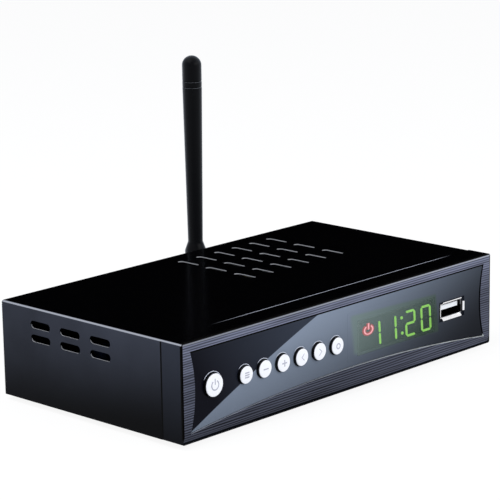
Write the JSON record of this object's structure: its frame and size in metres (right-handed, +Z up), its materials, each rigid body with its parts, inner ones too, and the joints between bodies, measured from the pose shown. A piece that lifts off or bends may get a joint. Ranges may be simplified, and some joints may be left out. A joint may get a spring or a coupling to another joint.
{
  "type": "satellite tv receiver",
  "caption": "Low set-top box with a two-tone fascia of round keys, a clock display and a USB socket, slot-vented steel cover, rear sockets and a folding whip antenna.",
  "frame": {"origin": "middle of the whole outline, on the surface the feet stand on", "axes": "+X to the right seen from the front, +Y to the back, +Z up"},
  "size_m": [0.175, 0.122, 0.1144],
  "materials": {
    "cover_paint": "satin black paint",
    "tray_steel": "satin black paint",
    "bezel_plastic": "moulded black plastic",
    "brushed_face": "brushed slate finish",
    "insert_gloss": "two-tone gloss",
    "window_tint": "tinted clear plastic",
    "circuit_board": "solder mask",
    "screw_steel": "zinc plated",
    "display_black": "black face",
    "digit_green": "lit segment",
    "indicator_red": "lit lens",
    "chip_black": "moulded resin",
    "plated_shell": "nickel plate",
    "usb_plastic": "white insulator",
    "ribbon_grey": "flat cable",
    "brass": "turned brass",
    "tinned_can": "tinned steel",
    "nickel": "nickel plate",
    "socket_black": "moulded black",
    "jack_white": "white insert",
    "jack_red": "red insert",
    "jack_yellow": "yellow insert",
    "jack_orange": "orange insert",
    "rocker_black": "moulded black",
    "gold_plate": "gold plate",
    "antenna_black": "moulded black",
    "sink_aluminium": "extruded",
    "capacitor_sleeve": "printed sleeve",
    "key_white": "pearl white",
    "switch_case": "moulded",
    "foot_rubber": "moulded rubber"
  },
  "bodies": {
    "root": {"top_cover": "cover_paint", "base_tray": "tray_steel", "front_bezel": "bezel_plastic", "face_plate": "brushed_face", "fascia_insert": "insert_gloss", "display_window": "window_tint", "front_board": "circuit_board", "main_board": "circuit_board", "front_board_screws": "screw_steel", "board_screws": "screw_steel", "cover_screws": "screw_steel", "display_module": "display_black", "digit_segments": "digit_green", "standby_indicator": "indicator_red", "infrared_receiver": "chip_black", "usb_shell": "plated_shell", "usb_tongue": "usb_plastic", "ribbon_cable": "ribbon_grey", "board_standoffs": "brass", "tuner_can": "tinned_can", "lnb_input_connector": "nickel", "lnb_loop_connector": "nickel", "av_block": "socket_black", "phono_barrels": "nickel", "left_audio_jack": "jack_white", "right_audio_jack": "jack_red", "video_jack": "jack_yellow", "digital_audio_jack": "jack_orange", "hdmi_shell": "plated_shell", "hdmi_tongue": "socket_black", "power_inlet": "socket_black", "rocker_housing": "socket_black", "antenna_jack": "gold_plate", "antenna_nut": "nickel", "processor": "chip_black", "memory_chips": "chip_black", "heat_sink": "sink_aluminium", "capacitors": "capacitor_sleeve", "power_switch": "switch_case", "menu_switch": "switch_case", "volume_down_switch": "switch_case", "volume_up_switch": "switch_case", "channel_down_switch": "switch_case", "channel_up_switch": "switch_case", "ok_switch": "switch_case", "foot_front_left": "foot_rubber", "foot_front_right": "foot_rubber", "foot_rear_left": "foot_rubber", "foot_rear_right": "foot_rubber"},
    "power_key": {"power_key": "key_white"},
    "menu_key": {"menu_key": "key_white"},
    "volume_down_key": {"volume_down_key": "key_white"},
    "volume_up_key": {"volume_up_key": "key_white"},
    "channel_down_key": {"channel_down_key": "key_white"},
    "channel_up_key": {"channel_up_key": "key_white"},
    "ok_key": {"ok_key": "key_white"},
    "rocker": {"rocker": "rocker_black"},
    "antenna_swivel": {"antenna_swivel": "antenna_black", "antenna_pin": "screw_steel"},
    "antenna_whip": {"antenna_whip": "antenna_black"}
  },
  "joints": [
    {"name": "power_press", "type": "slide", "parent": "root", "child": "power_key", "axis": [0, 1, 0], "range_m": [0, 0.0005], "stiffness_N_per_m": 400, "springref_m": -0.0005},
    {"name": "menu_press", "type": "slide", "parent": "root", "child": "menu_key", "axis": [0, 1, 0], "range_m": [0, 0.0005], "stiffness_N_per_m": 400, "springref_m": -0.0005},
    {"name": "volume_down_press", "type": "slide", "parent": "root", "child": "volume_down_key", "axis": [0, 1, 0], "range_m": [0, 0.0005], "stiffness_N_per_m": 400, "springref_m": -0.0005},
    {"name": "volume_up_press", "type": "slide", "parent": "root", "child": "volume_up_key", "axis": [0, 1, 0], "range_m": [0, 0.0005], "stiffness_N_per_m": 400, "springref_m": -0.0005},
    {"name": "channel_down_press", "type": "slide", "parent": "root", "child": "channel_down_key", "axis": [0, 1, 0], "range_m": [0, 0.0005], "stiffness_N_per_m": 400, "springref_m": -0.0005},
    {"name": "channel_up_press", "type": "slide", "parent": "root", "child": "channel_up_key", "axis": [0, 1, 0], "range_m": [0, 0.0005], "stiffness_N_per_m": 400, "springref_m": -0.0005},
    {"name": "ok_press", "type": "slide", "parent": "root", "child": "ok_key", "axis": [0, 1, 0], "range_m": [0, 0.0005], "stiffness_N_per_m": 400, "springref_m": -0.0005},
    {"name": "rocker_tip", "type": "hinge", "parent": "root", "child": "rocker", "pos_m": [-0.068, 0.036, 0.02102], "axis": [-1, 0, 0], "range_deg": [0, 14]},
    {"name": "antenna_turn", "type": "hinge", "parent": "root", "child": "antenna_swivel", "pos_m": [0.0364, 0.0403, 0.022], "axis": [0, 1, 0], "range_deg": [-90, 90]},
    {"name": "antenna_tilt", "type": "hinge", "parent": "antenna_swivel", "child": "antenna_whip", "pos_m": [0.0364, 0.0562, 0.022], "axis": [-1, 0, 0], "range_deg": [0, 90]}
  ]
}
